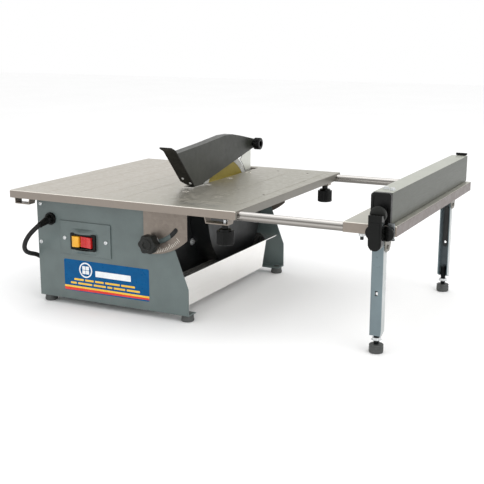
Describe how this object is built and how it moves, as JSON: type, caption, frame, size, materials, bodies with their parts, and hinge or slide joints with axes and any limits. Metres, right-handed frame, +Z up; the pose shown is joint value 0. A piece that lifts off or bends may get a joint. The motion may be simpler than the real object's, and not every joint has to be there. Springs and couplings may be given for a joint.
{
  "type": "tile cutter",
  "caption": "Portable wet tile saw with a tilting steel table, sliding extension table with box fence, folding legs, blade guard and water tray.",
  "frame": {"origin": "on the floor below the middle of the outline, cord apart", "axes": "+X right along the front edge towards the extension table, +Y back along the blade, +Z up"},
  "size_m": [0.63, 0.5131, 0.2568],
  "materials": {
    "base_paint": "satin blue-grey enamel",
    "dark_paint": "satin black enamel",
    "guard_paint": "satin dark grey enamel",
    "motor_paint": "dark grey cast housing",
    "galvanised": "galvanised sheet, faintly warm",
    "tray_steel": "plain bright sheet",
    "zinc": "zinc plated",
    "steel": "machined steel",
    "chrome": "bright chrome plate",
    "fence_aluminium": "dull extruded aluminium",
    "blade_disc": "yellow-tinted disc with a bright rim",
    "copper": "lacquered copper winding",
    "black_plastic": "glossy black moulding",
    "switch_black": "black moulding",
    "red_plastic": "red paddle",
    "yellow_plastic": "yellow safety key",
    "rubber": "black rubber",
    "pad_rubber": "dark grey foot pads"
  },
  "bodies": {
    "base": {"front_panel": "base_paint", "rear_panel": "base_paint", "left_cover": "base_paint", "divider_wall": "dark_paint", "base_foot_front_left": "pad_rubber", "base_foot_front_right": "pad_rubber", "base_foot_rear_left": "pad_rubber", "base_foot_rear_right": "pad_rubber", "pivot_pin_front": "zinc", "pivot_pin_rear": "zinc", "motor_housing": "motor_paint", "motor_end_cap": "motor_paint", "motor_stator": "copper", "spindle_bearing": "steel", "blade_cover": "dark_paint", "riving_knife": "tray_steel", "switch_plate": "base_paint", "switch_housing": "switch_black", "cord_gland": "rubber", "power_cord": "rubber", "cord_coil": "rubber", "plug": "rubber"},
    "arbor": {"spindle": "steel", "motor_rotor": "steel", "inner_flange": "steel", "outer_flange": "steel", "arbor_nut": "steel", "blade": "blade_disc"},
    "guard": {"guard_shell": "guard_paint", "guard_flap": "rubber"},
    "guard_clamp_knob": {"guard_knob": "black_plastic"},
    "front_bevel_knob": {"bevel_knob_front": "black_plastic"},
    "rear_bevel_knob": {"bevel_knob_rear": "black_plastic"},
    "tray": {"water_tray": "tray_steel"},
    "rocker": {"switch_rocker": "red_plastic"},
    "key": {"switch_key": "yellow_plastic"},
    "table": {"table_top": "galvanised", "bevel_bracket_front": "galvanised", "bevel_bracket_rear": "galvanised", "rod_bracket_front_left": "galvanised", "rod_bracket_front_right": "galvanised", "rod_bracket_rear_left": "galvanised", "rod_bracket_rear_right": "galvanised"},
    "front_rod_knob": {"rod_lock_knob_front": "black_plastic"},
    "rear_rod_knob": {"rod_lock_knob_rear": "black_plastic"},
    "extension": {"extension_table": "galvanised", "rod_front": "chrome", "rod_rear": "chrome", "leg_bracket_front": "galvanised", "leg_bracket_rear": "galvanised"},
    "front_leg": {"leg_front": "base_paint"},
    "rear_leg": {"leg_rear": "base_paint"},
    "front_leg_foot": {"leg_foot_front": "pad_rubber"},
    "rear_leg_foot": {"leg_foot_rear": "pad_rubber"},
    "fence": {"fence_bar": "fence_aluminium", "fence_end_cap": "black_plastic", "fence_rear_hook": "dark_paint", "fence_clamp": "zinc"},
    "fence_lock_lever": {"fence_lever": "black_plastic"},
    "fence_knob": {"fence_wing_knob": "black_plastic"}
  },
  "joints": [
    {"name": "blade_spin", "type": "hinge", "parent": "base", "child": "arbor", "pos_m": [-0.0745, 0.07585, 0.1326], "axis": [1, 0, 0], "continuous": true},
    {"name": "guard_lift", "type": "hinge", "parent": "base", "child": "guard", "pos_m": [-0.074, 0.16685, 0.2321], "axis": [-1, 0, 0], "range_deg": [0, 60]},
    {"name": "guard_knob_turn", "type": "hinge", "parent": "guard", "child": "guard_clamp_knob", "pos_m": [-0.059, 0.16685, 0.2321], "axis": [1, 0, 0], "range_deg": [0, 360]},
    {"name": "bevel_knob_front_turn", "type": "hinge", "parent": "base", "child": "front_bevel_knob", "pos_m": [-0.06599, -0.17915, 0.12003], "axis": [0, 1, 0], "range_deg": [0, 360]},
    {"name": "bevel_knob_rear_turn", "type": "hinge", "parent": "base", "child": "rear_bevel_knob", "pos_m": [-0.06599, 0.19385, 0.12003], "axis": [0, -1, 0], "range_deg": [0, 360]},
    {"name": "tray_drop", "type": "slide", "parent": "base", "child": "tray", "axis": [0, 0, -1], "range_m": [0, 0.0082]},
    {"name": "switch_rocker_tilt", "type": "hinge", "parent": "base", "child": "rocker", "pos_m": [-0.1885, -0.16615, 0.10585], "axis": [0, 0, 1], "range_deg": [0, 10]},
    {"name": "switch_key_pull", "type": "slide", "parent": "base", "child": "key", "axis": [0, -1, 0], "range_m": [0, 0.012]},
    {"name": "table_tilt", "type": "hinge", "parent": "base", "child": "table", "pos_m": [-0.073, 0.00385, 0.1771], "axis": [0, 1, 0], "range_deg": [0, 45], "deforming": ["guard_flap"]},
    {"name": "rod_knob_front_turn", "type": "hinge", "parent": "table", "child": "front_rod_knob", "pos_m": [0.062, -0.18215, 0.1446], "axis": [0, 0, 1], "range_deg": [0, 360]},
    {"name": "rod_knob_rear_turn", "type": "hinge", "parent": "table", "child": "rear_rod_knob", "pos_m": [0.062, 0.19485, 0.1446], "axis": [0, 0, 1], "range_deg": [0, 360]},
    {"name": "extension_slide", "type": "slide", "parent": "table", "child": "extension", "axis": [1, 0, 0], "range_m": [-0.154, 0.1]},
    {"name": "leg_fold_front", "type": "hinge", "parent": "extension", "child": "front_leg", "pos_m": [0.2825, -0.15815, 0.1486], "axis": [1, 0, 0], "range_deg": [0, 90]},
    {"name": "leg_fold_rear", "type": "hinge", "parent": "extension", "child": "rear_leg", "pos_m": [0.2825, 0.18385, 0.1486], "axis": [-1, 0, 0], "range_deg": [0, 90]},
    {"name": "foot_screw_front", "type": "slide", "parent": "front_leg", "child": "front_leg_foot", "axis": [0, 0, -1], "range_m": [0, 0.012]},
    {"name": "foot_screw_rear", "type": "slide", "parent": "rear_leg", "child": "rear_leg_foot", "axis": [0, 0, -1], "range_m": [0, 0.012]},
    {"name": "fence_slide", "type": "slide", "parent": "extension", "child": "fence", "axis": [1, 0, 0], "range_m": [-0.035, 0.006]},
    {"name": "fence_lever_turn", "type": "hinge", "parent": "fence", "child": "fence_lock_lever", "pos_m": [0.294, -0.20615, 0.2003], "axis": [0, 1, 0], "range_deg": [0, 90]},
    {"name": "fence_knob_turn", "type": "hinge", "parent": "fence", "child": "fence_knob", "pos_m": [0.295, -0.19815, 0.1751], "axis": [0, 1, 0], "range_deg": [0, 360]}
  ]
}
